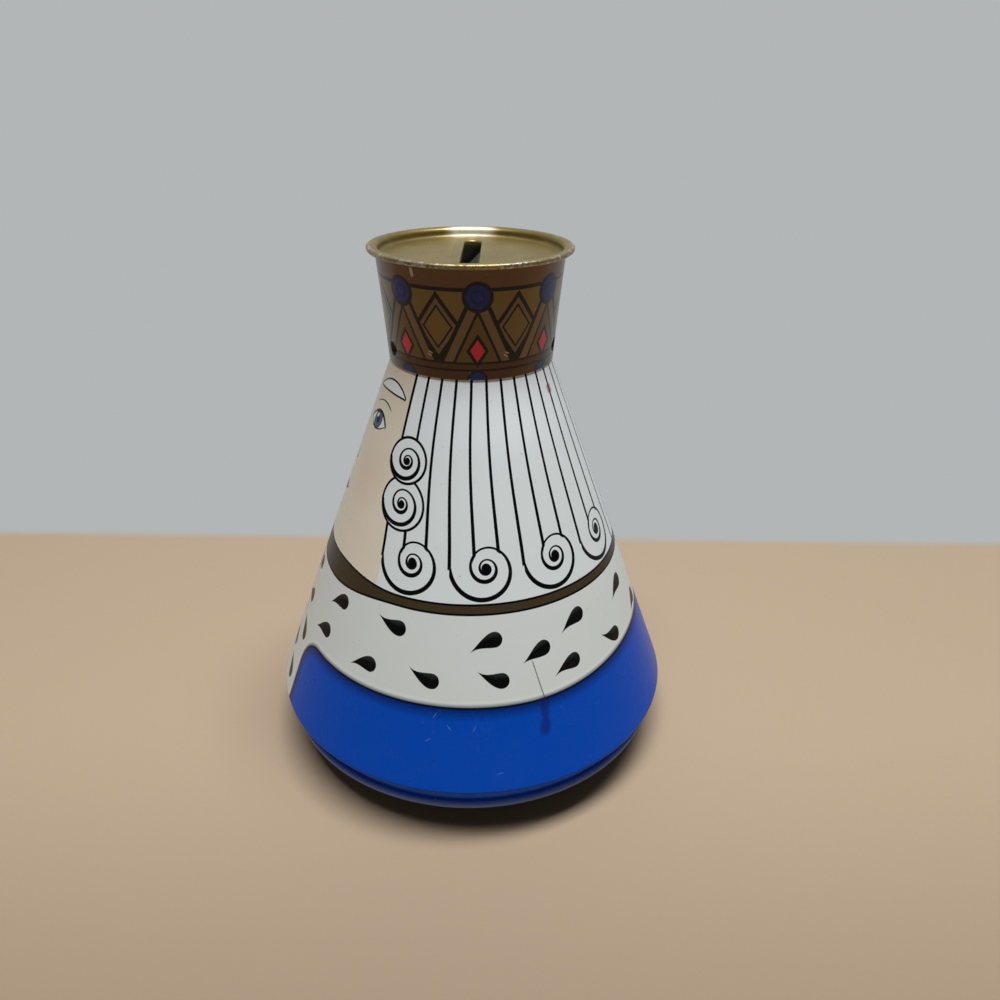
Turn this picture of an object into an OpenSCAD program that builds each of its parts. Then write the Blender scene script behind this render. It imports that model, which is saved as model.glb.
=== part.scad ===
// Tinplate money bank: a weighted cone with a shallow rounded base and a
// crown-shaped cap. The cap carries the coin slot and pulls off to empty it.
// Millimetres, +Z up. The origin is the point that the base stands on.
// The figure printed on the cone looks along -Y.

/* [Body cone] */
// Diameter over the rounded shoulder at the cone's lower edge
base_d = 90; // [84:1:100]
// Height of the cone from the bead up to the crown's lower edge
cone_h = 81.45; // [70:0.05:90]
// Outer diameter of the cone at the crown's lower edge
cone_top_d = 32.5; // [31:0.1:34]
// Outer radius of that shoulder
shoulder_r = 1; // [0.8:0.05:1.4]
// Height of the shoulder's centre over the bead's centre
shoulder_up = 5.35; // [4.5:0.05:6.5]
// How far the bead that closes the cone onto the base stays inside the shoulder
bead_inset = 1.5; // [1:0.1:2]
// Inner radius of the groove over the bead
groove_r = 0.2; // [0.15:0.05:0.4]
// Width of the folded side seam
seam_w = 4; // [3:0.5:6]
// Direction of the folded side seam, at the back of the figure
seam_angle = 90; // [60:5:120]

/* [Sheet] */
// Thickness of the tinplate
sheet = 0.3; // [0.24:0.02:0.36]
// Thickness of the base pan's plate
pan_sheet = 0.36; // [0.3:0.02:0.44]

/* [Base] */
// Height of the bead's centre over the floor
base_depth = 8.5; // [7.5:0.5:14]
// Diameter of the small flat that the base stands on
stand_flat_d = 9; // [6:1:14]
// Height that the middle of the coin floor stands over its edge
floor_step = 1.2; // [0.8:0.1:2]
// Diameter of the raised middle of the coin floor
floor_step_d = 64; // [62:1:72]

/* [Ballast] */
// Diameter of the iron weight
weight_d = 58; // [46:1:60]
// Width of the flange that holds the weight's cover to the pan
cover_flange = 4; // [3:0.5:6]

/* [Neck] */
// How far the neck's wall stands inside the cone's top edge
neck_in = 0.75; // [0.75:0.05:1.2]
// Height of the neck over the crown's lower edge
neck_h = 7.5; // [6:0.5:9]
// Length of the skirt that joins the neck to the cone's inside
neck_skirt = 5; // [4:0.5:8]

/* [Crown] */
// Height of the crown from its lower edge to the middle of its flat rim
crown_h = 21.25; // [18:0.05:26]
// Outer diameter over the rim
crown_rim_d = 40; // [39:0.1:43]
// How far the rim reaches out from the crown's wall
rim_reach = 1.55; // [1.4:0.05:2]
// Inner radius of the bend from the wall into the rim
rim_bend_r = 0.3; // [0.2:0.05:0.4]
// How straight the crown's flare is, where 1 is a plain cone
crown_flare = 0.85; // [0.6:0.05:1]
// Height of the dimples over the crown's lower edge
dimple_up = 3.3; // [2.6:0.1:4]
// Width of a dimple at the crown's outside
dimple_w = 2.9; // [2.6:0.1:3.4]
// Width of the lap in the crown's side seam
lap_w = 3; // [2:0.5:5]

/* [Slot lid] */
// Depth of the lid's floor under the top of the rim
lid_recess = 1.8; // [1.7:0.1:3]
// Length of the coin slot
slot_l = 26.5; // [25:0.5:30]
// Width of the coin slot
slot_w = 3.5; // [3:0.1:3.8]
// Depth of the turned-down edge round the slot
slot_lip = 0.8; // [0.6:0.1:1.2]

/* [Coin guard] */
// Length of the guard along the slot
guard_l = 24; // [20:1:26]
// Width of the guard's foot under the lid
guard_foot = 6; // [4:0.5:7]
// Reach of the guard's blade, measured along its slope
guard_blade = 8.5; // [7:0.5:10]
// Slope of the guard's blade below the horizontal
guard_slope = 45; // [35:5:55]

/* [Fits] */
// Gap between sheets that are rolled or pressed together
seam_gap = 0.05; // [0.03:0.01:0.08]
// Room that the bead leaves round the edges that it clamps
bead_slack = 0.12; // [0.08:0.01:0.3]
// Gap between the dimples and the neck that they grip
grip_gap = 0.06; // [0.04:0.01:0.1]
// Gap between the crown's lower edge and the cone, all round and below
seat_gap = 0.05; // [0.04:0.01:0.12]
// Gap between the slot's edge and the guard's blade
guard_gap = 0.4; // [0.3:0.1:0.8]
// Gap between the weight's cover and the coin floor
ballast_gap = 0.5; // [0.3:0.1:1]

/* [Hidden] */
$fn = 96;
arc_step = 15;
dome_steps = 14;
flare_steps = 8;

// Where the crown's dimples are pressed in, seen from above, from +X towards +Y
dimple_angles = [-61, 76, 188];
crown_seam_angle = 180;

// A point at a distance and a direction from a centre
function polar(x, z, r, a) = [x + r * cos(a), z + r * sin(a)];

// Points along an arc, with a step small enough to look round
function arc(x, z, r, a0, a1) =
    let (n = ceil(abs(a1 - a0) / arc_step))
    [for (i = [0:n]) polar(x, z, r, a0 + (a1 - a0) * i / n)];

// Bead: the cone's sheet rolls outwards, down and back under the edges of
// the pan and the coin floor, which lie on each other inside it.
bead_in = pan_sheet / 2 + seam_gap + sheet + bead_slack;
bead_mid = bead_in + sheet / 2;
bead_r = base_d / 2 - bead_inset - bead_in - sheet;
bead_end = -150;

// Shoulder, and the straight tuck below it that ends in a groove over the
// bead. The tuck touches the shoulder's arc and the groove's arc.
groove_mid = groove_r + sheet / 2;
groove_z = base_depth + bead_mid + groove_mid;
shoulder_mid = shoulder_r - sheet / 2;
shoulder_x = base_d / 2 - shoulder_r;
shoulder_z = base_depth + shoulder_up;
tuck_angle = atan2(groove_z - shoulder_z, bead_r - shoulder_x)
    - asin((groove_mid + shoulder_mid) / norm([bead_r - shoulder_x, groove_z - shoulder_z]));

// Cone: its outer side touches the shoulder and ends at the crown's lower edge.
seat_z = base_depth + cone_h;
cone_angle = atan2(shoulder_x - cone_top_d / 2, seat_z - shoulder_z)
    + asin(shoulder_r / norm([shoulder_x - cone_top_d / 2, seat_z - shoulder_z]));
cone_foot = polar(shoulder_x, shoulder_z, shoulder_r, cone_angle);
wall_out = sheet / 2 / cos(cone_angle);
function cone_mid(z) = cone_top_d / 2 - wall_out + (seat_z - z) * tan(cone_angle);

// Neck: its skirt lies against the cone's inside, and the cone ends where
// the neck turns upright.
neck_r = cone_top_d / 2 - neck_in;
neck_mid = neck_r - sheet / 2;
lap_out = (sheet + seam_gap) / cos(cone_angle);
neck_foot_z = seat_z + (cone_mid(seat_z) - lap_out - neck_mid) / tan(cone_angle);
neck_top_z = seat_z + neck_h;
neck_lip_r = 0.5;
cone_end_z = neck_foot_z - sheet * sin(cone_angle);

// Crown: a band that flares a little towards its top.
crown_foot_z = seat_z + seat_gap;
crown_foot_mid = cone_top_d / 2 + seat_gap + sheet / 2;
crown_top_mid = crown_rim_d / 2 - rim_reach - sheet / 2;
rim_z = seat_z + crown_h;
function flared(s) = crown_flare * s + (1 - crown_flare) * s * s;
function crown_mid(z) = crown_foot_mid
    + (crown_top_mid - crown_foot_mid) * flared((z - crown_foot_z) / (rim_z - crown_foot_z));

// Rim: the crown's top edge bends outwards and lies flat, and the lid's
// sheet goes over it, round its edge and back under it.
bend_mid = rim_bend_r + sheet / 2;
bend_z = rim_z - bend_mid;
bend_x = crown_mid(bend_z) + bend_mid;
fold_mid = sheet + seam_gap;
fold_x = crown_rim_d / 2 - sheet / 2 - fold_mid;

// Lid: a dish folded over the crown's top edge.
lid_floor_z = rim_z + fold_mid - lid_recess;
lid_under_z = lid_floor_z - sheet / 2;
lid_corner = 0.5;
function lid_wall(z) = crown_mid(z) - sheet - seam_gap;

// Pan: a dome about one centre on the axis, with a flat middle and a flat edge.
pan_z = pan_sheet / 2;
pan_bend_r = bead_r - bead_mid - pan_sheet;
stand_r = stand_flat_d / 2;
dome_z = (pow(pan_bend_r, 2) - pow(stand_r, 2) + pow(base_depth, 2) - pow(pan_z, 2))
    / (2 * (base_depth - pan_z));
dome_r = norm([stand_r, dome_z - pan_z]);
function dome_at(r, inset) = dome_z - sqrt(pow(dome_r - inset, 2) - r * r);

// Coin floor: its edge lies on the pan's edge inside the bead.
floor_z = base_depth + (pan_sheet + sheet) / 2 + seam_gap;
floor_slope_w = 1.5;

// Weight and its cover fill the room between the pan and the coin floor.
pan_in = pan_sheet / 2 + seam_gap;
weight_r = weight_d / 2;
weight_chamfer = 1;
weight_foot_z = pan_z + pan_in;
cover_z = floor_z + floor_step - sheet - ballast_gap;
cover_r = weight_r + seam_gap + sheet / 2;
weight_h = cover_z - sheet / 2 - seam_gap - weight_foot_z;

// A point of an open line, moved to the line's left by a distance
function unit(p, q) = (q - p) / norm(q - p);
function left_of(d) = [-d.y, d.x];
function moved(line, i, by) =
    let (last = len(line) - 1,
         before = left_of(unit(line[max(i - 1, 0)], line[max(i, 1)])),
         after = left_of(unit(line[min(i, last - 1)], line[min(i + 1, last)])))
    line[i] + by * (before + after) / (1 + before * after);

// The section of a bent sheet, from the line through its middle
module sheet_section(line, thick) {
    last = len(line) - 1;
    polygon(concat([for (i = [0:last]) moved(line, i, thick / 2)],
                   [for (i = [last:-1:0]) moved(line, i, -thick / 2)]));
}

// A sheet drawn or rolled into a round shape
module round_sheet(line, thick = sheet)
    rotate_extrude() sheet_section(line, thick);

// A slot's outline along X, with round ends
module slot_outline(length, width) {
    square([length - width, width], center = true);
    for (s = [-1, 1])
        translate([s * (length - width) / 2, 0]) circle(d = width);
}

// Puts a shape onto the cone's outside: X outwards, Z up the slope
module on_cone(angle)
    rotate([0, 0, angle])
        translate([cone_foot.x, 0, cone_foot.y])
            rotate([0, -cone_angle, 0]) children();

module body_cone() {
    slope_l = (cone_end_z - cone_foot.y) / cos(cone_angle);
    fold_t = 2 * sheet;
    fold_end = 3;
    crease_w = 0.3;
    crease_deep = sheet / 3;
    color("ivory") difference() {
        union() {
            round_sheet(concat(
                [[cone_mid(cone_end_z), cone_end_z]],
                arc(shoulder_x, shoulder_z, shoulder_mid, cone_angle, tuck_angle + 90),
                arc(bead_r, groove_z, groove_mid, tuck_angle + 270, 270),
                arc(bead_r, base_depth, bead_mid, 90 - arc_step, bead_end)));
            // Folded lock seam, inside
            on_cone(seam_angle)
                translate([-sheet - fold_t, -seam_w / 2, fold_end])
                    cube([fold_t + sheet / 2, seam_w, slope_l - neck_skirt - 2 * fold_end]);
        }
        // The crease that the lock seam leaves outside
        on_cone(seam_angle)
            translate([-crease_deep, -crease_w / 2, fold_end])
                cube([sheet, crease_w, slope_l]);
    }
}

module neck_ring() {
    skirt_z = neck_foot_z - neck_skirt * cos(cone_angle);
    color("silver") round_sheet(concat(
        [[cone_mid(skirt_z) - lap_out, skirt_z], [neck_mid, neck_foot_z]],
        arc(neck_mid - neck_lip_r, neck_top_z - neck_lip_r - sheet / 2, neck_lip_r, 0, 120)));
}

module base_pan() {
    dome_from = asin(stand_r / dome_r);
    dome_to = asin(pan_bend_r / dome_r);
    color([0.14, 0.11, 0.09]) round_sheet(concat(
        [[0, pan_z]],
        [for (i = [0:dome_steps])
            polar(0, dome_z, dome_r, -90 + dome_from + (dome_to - dome_from) * i / dome_steps)],
        [[bead_r, base_depth]]), pan_sheet);
}

module coin_floor() {
    step_r = floor_step_d / 2;
    color("silver") round_sheet([
        [0, floor_z + floor_step], [step_r, floor_z + floor_step],
        [step_r + floor_slope_w, floor_z], [bead_r, floor_z]]);
}

module ballast_weight() {
    color("dimgray") intersection() {
        translate([0, 0, dome_z]) sphere(r = dome_r - pan_in);
        translate([0, 0, weight_foot_z]) rotate_extrude()
            polygon([[0, 0], [weight_r, 0], [weight_r, weight_h - weight_chamfer],
                     [weight_r - weight_chamfer, weight_h], [0, weight_h]]);
    }
}

module ballast_cover() {
    flange_steps = 3;
    color("silver") round_sheet(concat(
        [[0, cover_z], [cover_r - weight_chamfer, cover_z], [cover_r, cover_z - weight_chamfer]],
        [for (i = [0:flange_steps])
            let (r = cover_r + cover_flange * i / flange_steps)
            [r, dome_at(r, pan_in + sheet / 2)]]));
}

crown_line = concat(
    [for (i = [0:flare_steps])
        let (z = crown_foot_z + (bend_z - crown_foot_z) * i / flare_steps)
        [crown_mid(z), z]],
    arc(bend_x, bend_z, bend_mid, 180 - arc_step, 90),
    [[fold_x, rim_z]]);

// Fills the crown's band out to the middle of its sheet
module crown_core()
    rotate_extrude() polygon(concat(
        [[0, crown_foot_z]],
        [for (i = [0:flare_steps - 1]) crown_line[i]],
        [[0, crown_line[flare_steps - 1].y]]));

module crown_band() {
    dimple_z = crown_foot_z + dimple_up;
    dimple_face = crown_mid(dimple_z) + sheet / 2;
    dimple_deep = dimple_face - sheet - neck_r - grip_gap;
    dimple_r = (pow(dimple_w / 2, 2) + pow(dimple_deep, 2)) / (2 * dimple_deep);
    lap_from = crown_foot_z + dimple_up;
    lap_to = lid_under_z - 2 * sheet;
    lap_sunk = 0.8 * sheet;
    lap_angle = lap_w / crown_foot_mid * 180 / PI;
    color([0.36, 0.27, 0.14]) difference() {
        union() {
            round_sheet(crown_line);
            // Pressed dimples, bulging inwards
            intersection() {
                crown_core();
                for (a = dimple_angles) rotate([0, 0, a])
                    translate([dimple_face + dimple_r - dimple_deep, 0, dimple_z])
                        sphere(r = dimple_r + sheet);
            }
            // Lap of the side seam, inside
            rotate([0, 0, crown_seam_angle - lap_angle / 2])
                rotate_extrude(angle = lap_angle)
                    sheet_section([[crown_mid(lap_from) - lap_sunk, lap_from],
                                   [crown_mid(lap_to) - lap_sunk, lap_to]], sheet);
        }
        for (a = dimple_angles) rotate([0, 0, a])
            translate([dimple_face + dimple_r - dimple_deep, 0, dimple_z])
                sphere(r = dimple_r);
    }
}

module slot_lid() {
    wall_foot_z = lid_floor_z + lid_corner;
    color([0.72, 0.65, 0.4]) difference() {
        union() {
            round_sheet(concat(
                [[0, lid_floor_z], [lid_wall(wall_foot_z) - lid_corner, lid_floor_z],
                 [lid_wall(wall_foot_z), wall_foot_z]],
                arc(bend_x, bend_z, bend_mid + fold_mid, 180, 90),
                arc(fold_x, rim_z, fold_mid, 90, -90),
                [[bend_x, rim_z - fold_mid]]));
            // Turned-down edge of the slot
            translate([0, 0, lid_floor_z - slot_lip])
                linear_extrude(slot_lip) slot_outline(slot_l + 2 * sheet, slot_w + 2 * sheet);
        }
        translate([0, 0, lid_floor_z - 2 * slot_lip])
            linear_extrude(4 * slot_lip) slot_outline(slot_l, slot_w);
    }
}

module coin_guard() {
    top = lid_under_z - seam_gap - sheet / 2;
    bend = slot_w / 2 + sheet + slot_lip / tan(guard_slope) + guard_gap;
    color("gray") rotate([90, 0, 90])
        translate([0, 0, -guard_l / 2]) linear_extrude(guard_l)
            sheet_section([[bend + guard_foot, top], [bend, top],
                           [bend - guard_blade * cos(guard_slope),
                            top - guard_blade * sin(guard_slope)]], sheet);
}

body_cone();
neck_ring();
base_pan();
coin_floor();
ballast_weight();
ballast_cover();
crown_band();
slot_lid();
coin_guard();
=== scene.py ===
import math

import bmesh
import bpy
import numpy as np
from mathutils import Matrix


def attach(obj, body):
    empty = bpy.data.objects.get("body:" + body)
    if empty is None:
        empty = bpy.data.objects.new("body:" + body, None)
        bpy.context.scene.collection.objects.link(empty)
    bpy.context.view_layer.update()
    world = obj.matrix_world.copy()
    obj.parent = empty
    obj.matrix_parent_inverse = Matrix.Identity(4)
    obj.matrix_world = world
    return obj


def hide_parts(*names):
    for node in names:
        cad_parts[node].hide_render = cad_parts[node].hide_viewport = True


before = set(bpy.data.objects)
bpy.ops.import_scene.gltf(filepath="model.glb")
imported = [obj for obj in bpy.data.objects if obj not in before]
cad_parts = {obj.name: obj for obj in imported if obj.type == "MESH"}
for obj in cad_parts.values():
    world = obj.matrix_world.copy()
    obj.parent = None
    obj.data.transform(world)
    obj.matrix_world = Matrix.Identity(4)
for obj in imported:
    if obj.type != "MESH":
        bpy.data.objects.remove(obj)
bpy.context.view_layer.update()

# A tinplate money bank on its CAD frame: fine sheet surfaces, and the inks printed on them.
# Lengths in the dictionaries are in millimetres and angles in degrees. +X is the side that the
# camera sees, and the printed face looks along -Y.

mm = 0.001


# Surfaces

def arcOf(centre, radius, start, stop, step=5.0):
    # Points on a circle: the centre plus the radius times the cosine and sine of even steps of angle.
    count = int(math.ceil(abs(stop - start) / step)) + 1
    angles = np.radians(np.linspace(start, stop, count))
    return np.stack([centre[0] + radius * np.cos(angles), centre[1] + radius * np.sin(angles)], axis=1)


def straightOf(start, stop, count):
    # Even steps along a straight line, the last point left out.
    share = np.linspace(0, 1, count, endpoint=False)[:, None]
    return np.array(start) * (1 - share) + np.array(stop) * share


def sectionOf(line, thickness, fromAxis=False):
    # The section of a bent sheet: the line through its middle, moved half a thickness to its left,
    # a rounded edge, the same line moved to its right and run backwards, and a rounded edge again.
    # The second result is 1 on the left side, -1 on the right and 0 on the edges.
    along = np.gradient(line, axis=0)
    along /= np.linalg.norm(along, axis=1, keepdims=True)
    left = np.stack([-along[:, 1], along[:, 0]], axis=1) * thickness / 2
    if fromAxis:
        left[0] = [0, np.copysign(thickness / 2, left[0, 1])]
    turn = np.radians([60.0, 20.0, -20.0, -60.0])[:, None]

    def edge(end, ahead, aside):
        return line[end] + 0.3 * thickness * np.cos(turn) * ahead + np.sin(turn) * aside

    parts = [line + left, edge(-1, along[-1], left[-1]), (line - left)[::-1]]
    sides = [np.ones(len(line)), np.zeros(4), -np.ones(len(line))]
    if not fromAxis:
        parts.append(edge(0, -along[0], -left[0]))
        sides.append(np.zeros(4))
    return np.concatenate(parts), np.concatenate(sides)


def columnsOf(count, dense=(), spread=4.0, extra=24):
    # Angles round the axis in even steps, with more of them about each direction in dense.
    angles = [np.linspace(-math.pi, math.pi, count, endpoint=False)]
    for direction in dense:
        angles.append(np.radians(direction + np.linspace(-spread, spread, extra)))
    wrapped = (np.concatenate(angles) + math.pi) % (2 * math.pi) - math.pi
    return np.unique(np.round(wrapped, 6))


def revolve(section, angles, push=None):
    # A surface of revolution: x is the radius times the cosine of the angle, y times its sine, and z is
    # the section's height. push gives what is added to the radius at each angle, row and height.
    turn, radius = np.meshgrid(angles, section[:, 0])
    height = np.repeat(section[:, 1:2], len(angles), axis=1)
    if push is not None:
        radius = radius + push(turn, radius, height)
    return np.stack([radius * np.cos(turn), radius * np.sin(turn), height], axis=-1)


def pieceOf(name, grid, loop=True):
    # Each four neighbours on the grid make a face. Columns close round the axis, and rows close where
    # the section is a loop. The sum of the corner products gives the volume, whose sign turns the faces out.
    rows, columns = grid.shape[:2]
    index = np.arange(rows * columns).reshape(rows, columns)
    here = index if loop else index[:-1]
    above = np.roll(index, -1, axis=0) if loop else index[1:]
    quads = np.stack([here, np.roll(here, -1, axis=1), np.roll(above, -1, axis=1), above], axis=-1).reshape(-1, 4)
    points = grid.reshape(-1, 3) * mm
    a, b, c, d = (points[quads[:, i]] for i in range(4))
    if (np.cross(a, b) * c).sum() + (np.cross(a, c) * d).sum() < 0:
        quads = quads[:, ::-1]
    mesh = bpy.data.meshes.new(name)
    mesh.vertices.add(len(points))
    mesh.vertices.foreach_set("co", points.astype(np.float32).ravel())
    mesh.loops.add(quads.size)
    mesh.loops.foreach_set("vertex_index", quads.astype(np.int32).ravel())
    mesh.polygons.add(len(quads))
    mesh.polygons.foreach_set("loop_start", np.arange(0, quads.size, 4, dtype=np.int32))
    mesh.update(calc_edges=True)
    work = bmesh.new()
    work.from_mesh(mesh)
    bmesh.ops.remove_doubles(work, verts=work.verts, dist=1e-7)
    work.to_mesh(mesh)
    work.free()
    mesh.polygons.foreach_set("use_smooth", np.ones(len(mesh.polygons), dtype=bool))
    mesh.set_sharp_from_angle(angle=math.radians(50))
    piece = bpy.data.objects.new(name, mesh)
    bpy.context.scene.collection.objects.link(piece)
    return piece


def waves(turn, height, seed):
    # Slow waves in a hand-fed sheet, from 0 to 1: half the mean of three cosines of the angle and the
    # height, each with a start of its own, plus a half.
    start = np.random.default_rng(seed).uniform(0, 2 * math.pi, 3)
    sum3 = (np.cos(3 * turn + height / 9 + start[0]) + np.cos(5 * turn - height / 14 + start[1])
            + np.cos(2 * turn + height / 23 + start[2]))
    return 0.5 + sum3 / 6


# Shader maths

class Wire:
    # One socket. Each operator adds a Math node and gives its result.
    def __init__(self, finish, socket):
        self.finish, self.socket = finish, socket

    def math(self, operation, *values, clamp=False):
        return self.finish.node("Math", {"operation": operation, "use_clamp": clamp}, *values)

    def __add__(self, other): return self.math("ADD", self, other)
    def __radd__(self, other): return self.math("ADD", other, self)
    def __sub__(self, other): return self.math("SUBTRACT", self, other)
    def __rsub__(self, other): return self.math("SUBTRACT", other, self)
    def __mul__(self, other): return self.math("MULTIPLY", self, other)
    def __rmul__(self, other): return self.math("MULTIPLY", other, self)
    def __truediv__(self, other): return self.math("DIVIDE", self, other)
    def __rtruediv__(self, other): return self.math("DIVIDE", other, self)
    def __pow__(self, other): return self.math("POWER", self, other)
    def __neg__(self): return self.math("MULTIPLY", self, -1.0)
    def __abs__(self): return self.math("ABSOLUTE", self)
    def low(self, other): return self.math("MINIMUM", self, other)
    def high(self, other): return self.math("MAXIMUM", self, other)
    def part(self): return self.math("FRACT", self)
    def inside(self, soft=0.07): return self.math("MULTIPLY_ADD", self, 1 / soft, 0.5, clamp=True)
    def stroke(self, width, soft=0.07): return (width / 2 - abs(self)).inside(soft)


class Finish:
    # One material: its nodes, and the masks and inks that they make.
    def __init__(self, name):
        self.material = bpy.data.materials.new(name)
        self.material.use_nodes = True
        self.tree = self.material.node_tree
        self.tree.nodes.clear()
        self.shader = self.tree.nodes.new("ShaderNodeBsdfPrincipled")
        output = self.tree.nodes.new("ShaderNodeOutputMaterial")
        self.tree.links.new(self.shader.outputs[0], output.inputs["Surface"])
        self.places = self.node("TexCoord", {}, out="Object")
        self.millimetres = self.node("VectorMath", {"operation": "SCALE"}, self.places, Scale=1000.0)
        self.x, self.y, self.z = (self.node("SeparateXYZ", {}, self.millimetres, out=i) for i in range(3))

    def node(self, kind, settings, *values, out=0, **named):
        made = self.tree.nodes.new("ShaderNode" + kind)
        for key, value in settings.items():
            setattr(made, key, value)
        for place, value in [*enumerate(values), *named.items()]:
            if isinstance(value, Wire):
                self.tree.links.new(value.socket, made.inputs[place])
            elif value is not None:
                made.inputs[place].default_value = value
        return Wire(self, made.outputs[out])

    def mix(self, mask, under, over):
        return self.node("Mix", {"data_type": "RGBA"}, mask, None, None, None, None, None, under, over, out=2)

    def angle(self, across, ahead):
        return self.node("Math", {"operation": "ARCTAN2"}, across, ahead)

    def length(self, across, up):
        return self.node("Math", {"operation": "SQRT"}, across * across + up * up)

    def speckle(self, scale, detail=2.0, rough=0.5, stretch=None, turn=None):
        # Noise about 0.5. stretch squeezes the pattern along each axis, and turn turns it first.
        where = self.millimetres
        if stretch or turn:
            where = self.node("Mapping", {}, where, None, turn or (0, 0, 0), stretch or (1, 1, 1))
        return self.node("TexNoise", {"noise_dimensions": "3D"}, where, None, scale, detail, rough)

    def above(self, value, edge, soft):
        # A mask that rises from 0 to 1 as the value passes the edge.
        return self.node("MapRange", {"interpolation_type": "SMOOTHSTEP"}, value, edge - soft, edge + soft, 0.0, 1.0)

    def scratches(self, seed, width, turn, share):
        # Hair lines: noise squeezed a hundredfold along one direction, kept where it is near a half, and
        # cut short by a second, coarse noise.
        fine = self.speckle(1.0, 0.0, 0.5, (0.02, 0.9, 0.9), (turn[0] + seed, turn[1], turn[2]))
        gate = self.speckle(0.09 + 0.01 * seed, 1.0, 0.5)
        return (fine - 0.5).stroke(width, width) * self.above(gate, 1 - share, 0.02)

    def dress(self, piece, **sockets):
        for name, value in sockets.items():
            socket = self.shader.inputs[name.replace("_", " ")]
            if isinstance(value, Wire):
                self.tree.links.new(value.socket, socket)
            else:
                socket.default_value = value
        piece.data.materials.clear()
        piece.data.materials.append(self.material)

    def bump(self, height, strength, distance):
        return self.node("Bump", {}, strength, distance * mm, Height=height)


def ink(red, green, blue):
    # A display colour from 0 to 255 as the linear colour that the shader wants.
    def linear(value):
        value /= 255
        return value / 12.92 if value <= 0.04045 else ((value + 0.055) / 1.055) ** 2.4
    return linear(red), linear(green), linear(blue), 1.0


# Sizes that the cone, the base and the crown share

sheets = {
    "tin": 0.3, "pan": 0.36, "seamGap": 0.05, "beadSlack": 0.12, "baseDiameter": 89.94, "baseDepth": 8.5,
    "beadInset": 1.5, "seat": 89.95, "topDiameter": 32.5, "neckRadius": 15.5, "gripGap": 0.06,
    "rimHeight": 111.2, "rimDiameter": 40.0, "rimReach": 1.55, "bendRadius": 0.3,
}
beadIn = sheets["pan"] / 2 + sheets["seamGap"] + sheets["tin"] + sheets["beadSlack"]
beadMiddle = beadIn + sheets["tin"] / 2
beadRadius = sheets["baseDiameter"] / 2 - sheets["beadInset"] - beadIn - sheets["tin"]
bendMiddle = sheets["bendRadius"] + sheets["tin"] / 2
bendHeight = sheets["rimHeight"] - bendMiddle
foldMiddle = sheets["tin"] + sheets["seamGap"]
foldRadius = sheets["rimDiameter"] / 2 - sheets["tin"] / 2 - foldMiddle


# Body cone: the printed sheet, its shoulder, groove and bead, and the folded seam at the back

cone = {
    "shoulderRadius": 1.0, "shoulderUp": 5.35, "grooveRadius": 0.2, "beadEnd": -150.0, "topGap": 1.1,
    "seamAngle": 90.0, "foldWidth": 4.0, "foldThickness": 0.6, "foldEnd": 3.0, "skirt": 5.0,
    "foldFoot": 20.0, "creaseWidth": 0.35, "creaseDepth": 0.1, "waveDepth": 0.035, "waveFoot": 15.5,
    "columns": 300, "rings": 62,
}


def coneLine():
    # The middle of the cone's sheet from the top down: the straight wall, the shoulder's arc, the straight
    # tuck, the groove's arc and the bead's. Each straight touches the arcs at its ends. Gives the wall's
    # slope too.
    tin = sheets["tin"]
    grooveMiddle = cone["grooveRadius"] + tin / 2
    shoulderMiddle = cone["shoulderRadius"] - tin / 2
    shoulderX = sheets["baseDiameter"] / 2 - cone["shoulderRadius"]
    shoulderZ = sheets["baseDepth"] + cone["shoulderUp"]
    grooveZ = sheets["baseDepth"] + beadMiddle + grooveMiddle
    apart = (beadRadius - shoulderX, grooveZ - shoulderZ)
    tuck = math.degrees(math.atan2(apart[1], apart[0])
                        - math.asin((grooveMiddle + shoulderMiddle) / math.hypot(*apart)))
    reach = np.array([shoulderX - sheets["topDiameter"] / 2, sheets["seat"] - shoulderZ])
    slope = math.atan2(*reach) + math.asin(cone["shoulderRadius"] / np.linalg.norm(reach))
    topZ = sheets["seat"] + cone["topGap"]
    topX = sheets["topDiameter"] / 2 - tin / 2 / math.cos(slope) + (sheets["seat"] - topZ) * math.tan(slope)
    shoulder = arcOf((shoulderX, shoulderZ), shoulderMiddle, math.degrees(slope), tuck + 90)
    groove = arcOf((beadRadius, grooveZ), grooveMiddle, tuck + 270, 270, 15)
    bead = arcOf((beadRadius, sheets["baseDepth"]), beadMiddle, 90, cone["beadEnd"])
    wall = straightOf((topX, topZ), shoulder[0], cone["rings"])
    return np.concatenate([wall, shoulder[:-1], straightOf(shoulder[-1], groove[0], 7), groove[:-1], bead]), slope


def conePush(sides, slope):
    # What is added to the radius: slow waves and the seam's crease on both skins, and the fold inside
    seam = math.radians(cone["seamAngle"])

    def push(turn, radius, height):
        side = sides[:, None]
        across = abs((turn - seam + math.pi) % (2 * math.pi) - math.pi) * radius
        wall = np.clip((height - cone["waveFoot"]) / 3, 0, 1) * np.clip((sheets["seat"] - 1 - height) / 6, 0, 1)
        crease = cone["creaseDepth"] * np.clip(1 - across / cone["creaseWidth"] * 2, 0, 1) * (side > 0)
        fold = np.clip((cone["foldWidth"] / 2 - across) / 0.15 + 0.5, 0, 1) * (side < 0)
        fold = fold * (height > cone["foldFoot"]) * (height < sheets["seat"] - cone["skirt"] - cone["foldEnd"])
        wave = cone["waveDepth"] * waves(turn, height, 4)
        return -wall * (crease + wave) - fold * cone["foldThickness"] / math.cos(slope)
    return push


line, coneSlope = coneLine()
section, sides = sectionOf(line, sheets["tin"])
grid = revolve(section, columnsOf(cone["columns"], [cone["seamAngle"]], 6.0, 36), conePush(sides, coneSlope))
printedCone = pieceOf("printedCone", grid)
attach(printedCone, "body")
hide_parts("body_cone")
print("cone surface made", len(printedCone.data.polygons), "faces")


# Crown band: a flared band with a lapped seam and three pressed dimples

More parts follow.
